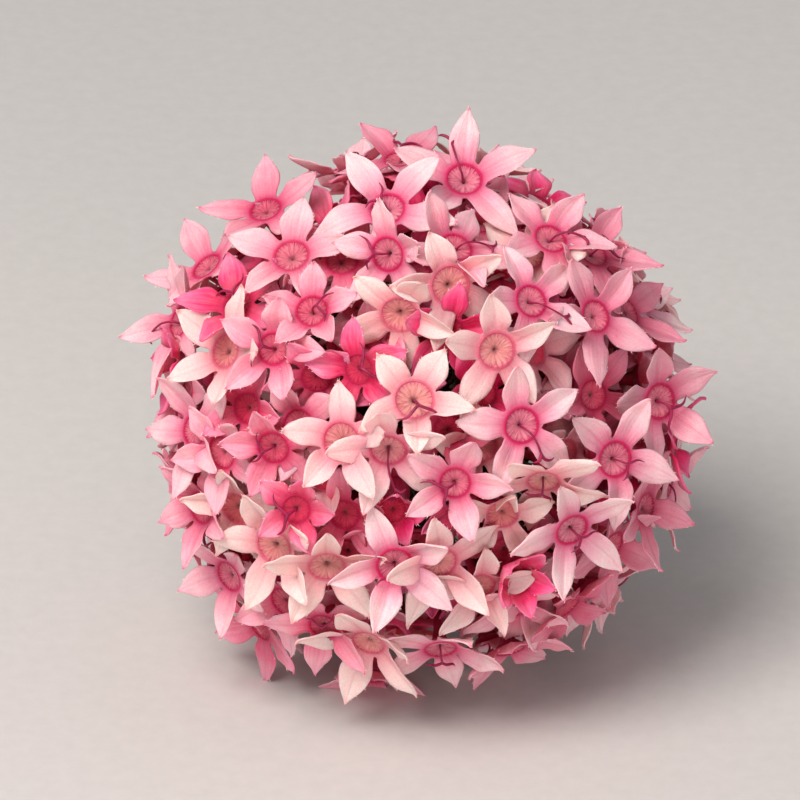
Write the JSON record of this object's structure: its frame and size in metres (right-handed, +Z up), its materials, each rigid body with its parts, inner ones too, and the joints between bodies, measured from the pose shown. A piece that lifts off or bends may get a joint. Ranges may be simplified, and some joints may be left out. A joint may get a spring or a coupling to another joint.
{
  "type": "pentas flower head",
  "caption": "Picked pentas flower head: a ball of pink five-petalled florets on long tubes, on a short bent green stem with a pair of leaves, lying on its side.",
  "frame": {"origin": "on the surface that the flower lies on, under the middle of its bounding box", "axes": "+Z up from the surface, +Y from the flower head along the lying stem, the head's open face towards -Y and up"},
  "size_m": [0.0656, 0.0991, 0.0629],
  "materials": {
    "petals": "soft matt living petal tissue, pale cream-pink with deeper pink throats",
    "stem": "matt downy green stem",
    "leaves": "soft satin green leaf with sunk veins"
  },
  "bodies": {
    "root": {"florets": "petals", "stem": "stem", "leaf_left": "leaves", "leaf_right": "leaves"}
  },
  "joints": []
}
